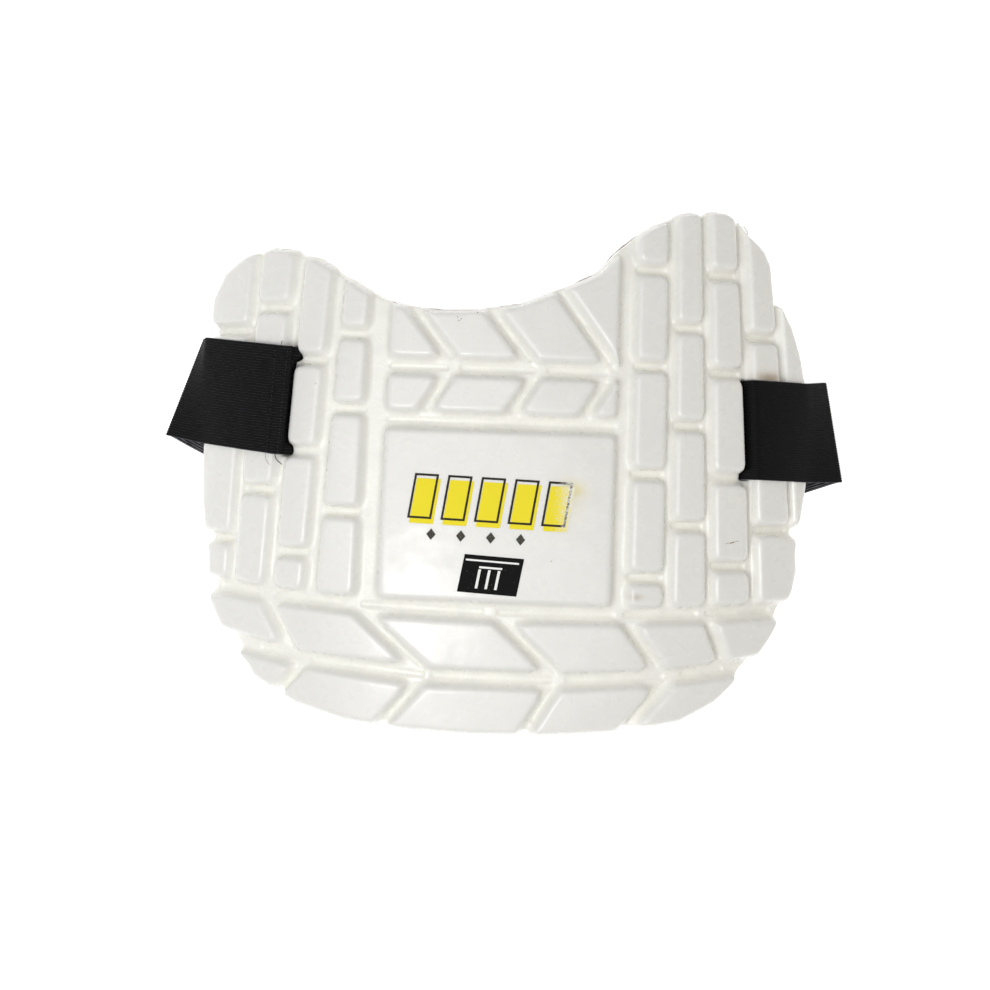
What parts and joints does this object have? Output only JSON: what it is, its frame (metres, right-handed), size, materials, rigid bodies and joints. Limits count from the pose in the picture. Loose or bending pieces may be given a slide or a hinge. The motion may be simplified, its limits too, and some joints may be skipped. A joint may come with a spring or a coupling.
{
  "type": "cricket chest guard",
  "caption": "Curved foam chest guard with moulded blocks and bands, cloth-faced lining, and a wide elastic strap looped beneath it.",
  "frame": {"origin": "bottom centre of the bounding box, on the floor the guard lies on", "axes": "+X to the right seen from the front with the neck edge up, +Y towards the neck edge, +Z out of the chest face"},
  "size_m": [0.3572, 0.2726, 0.067],
  "materials": {
    "foam_white": "pearly satin film on moulded foam",
    "lining_cloth": "knitted cloth",
    "elastic_black": "ribbed woven elastic"
  },
  "bodies": {
    "root": {"foam_shell": "foam_white", "lining": "lining_cloth", "elastic_strap": "elastic_black"}
  },
  "joints": []
}
